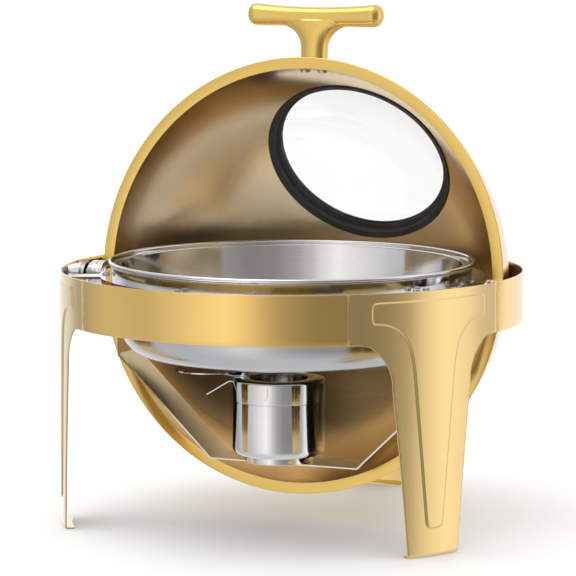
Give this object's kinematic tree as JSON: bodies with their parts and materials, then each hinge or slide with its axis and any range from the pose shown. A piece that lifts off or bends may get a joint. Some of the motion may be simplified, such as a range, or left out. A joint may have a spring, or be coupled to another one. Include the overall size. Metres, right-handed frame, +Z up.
{
  "type": "roll top chafer",
  "caption": "Round roll-top chafing dish: a domed lid with a window rolls back in a three-legged band over a food pan, a water pan and a fuel burner on a strap",
  "frame": {"origin": "on the floor, under the centre of the round band", "axes": "+Z up, +Y to the back, where the lid rolls, -Y the front, +X to the right seen from the front"},
  "size_m": [0.464, 0.4662, 0.5197],
  "materials": {
    "gold_sheet": "satin gold plated stainless sheet",
    "gold_casting": "satin gold plated casting",
    "bright_hub": "polished",
    "stainless": "polished and satin stainless",
    "hardware": "plain stainless",
    "black_rubber": "matt",
    "clear_glass": "clear"
  },
  "bodies": {
    "stand": {"arm_nuts": "hardware", "arm_screws": "hardware", "arm_studs": "hardware", "band_front": "gold_sheet", "band_left": "gold_sheet", "band_right": "gold_sheet", "burner_strap": "stainless", "cap_nut_left": "bright_hub", "cap_nut_right": "bright_hub", "hub_washer_left": "bright_hub", "hub_washer_right": "bright_hub", "leg_left": "gold_sheet", "leg_rear": "gold_sheet", "leg_right": "gold_sheet", "pivot_plate_left": "hardware", "pivot_plate_right": "hardware", "pivot_stud_left": "hardware", "pivot_stud_right": "hardware", "splice_nuts": "hardware", "splice_plates": "hardware", "splice_studs": "hardware", "stop_pins_left": "hardware", "stop_pins_right": "hardware", "strap_nuts": "hardware", "strap_screws": "hardware", "support_arm_front": "stainless", "support_arm_left": "stainless", "support_arm_right": "stainless", "support_hoop": "stainless"},
    "lid": {"handle_screws": "hardware", "handle_washers": "hardware", "hinge_lug_left": "hardware", "hinge_lug_right": "hardware", "hub_barrel_left": "bright_hub", "hub_barrel_right": "bright_hub", "lid_dome": "gold_sheet", "lid_handle": "gold_casting", "lid_rim": "gold_sheet", "stop_arm_left": "hardware", "stop_arm_right": "hardware", "window_gasket": "black_rubber", "window_glass": "clear_glass"},
    "water_pan_body": {"water_pan": "stainless"},
    "food_pan_body": {"food_pan": "stainless", "food_pan_rim": "stainless"},
    "burner": {"burner_cup": "stainless", "burner_foot": "stainless"},
    "cap": {"burner_cap": "stainless", "cap_tab": "stainless", "cap_clip": "stainless", "flap_rivet": "stainless"},
    "flap": {"snuffer_flap": "stainless"}
  },
  "joints": [
    {"name": "lid_roll", "type": "hinge", "parent": "stand", "child": "lid", "pos_m": [0, 0, 0.24], "axis": [1, 0, 0], "range_deg": [0, 94.5]},
    {"name": "water_pan_lift", "type": "slide", "parent": "stand", "child": "water_pan_body", "axis": [0, 0, 1], "range_m": [0, 0.02]},
    {"name": "food_pan_lift", "type": "slide", "parent": "water_pan_body", "child": "food_pan_body", "axis": [0, 0, 1], "range_m": [0, 0.03]},
    {"name": "burner_slide", "type": "slide", "parent": "stand", "child": "burner", "axis": [0, -1, 0], "range_m": [0, 0.25]},
    {"name": "cap_lift", "type": "slide", "parent": "burner", "child": "cap", "axis": [0, 0, 1], "range_m": [0, 0.02]},
    {"name": "flap_swing", "type": "hinge", "parent": "cap", "child": "flap", "pos_m": [-0.0485, -0.01, 0.1457], "axis": [0, 0, 1], "range_deg": [0, 180]}
  ]
}
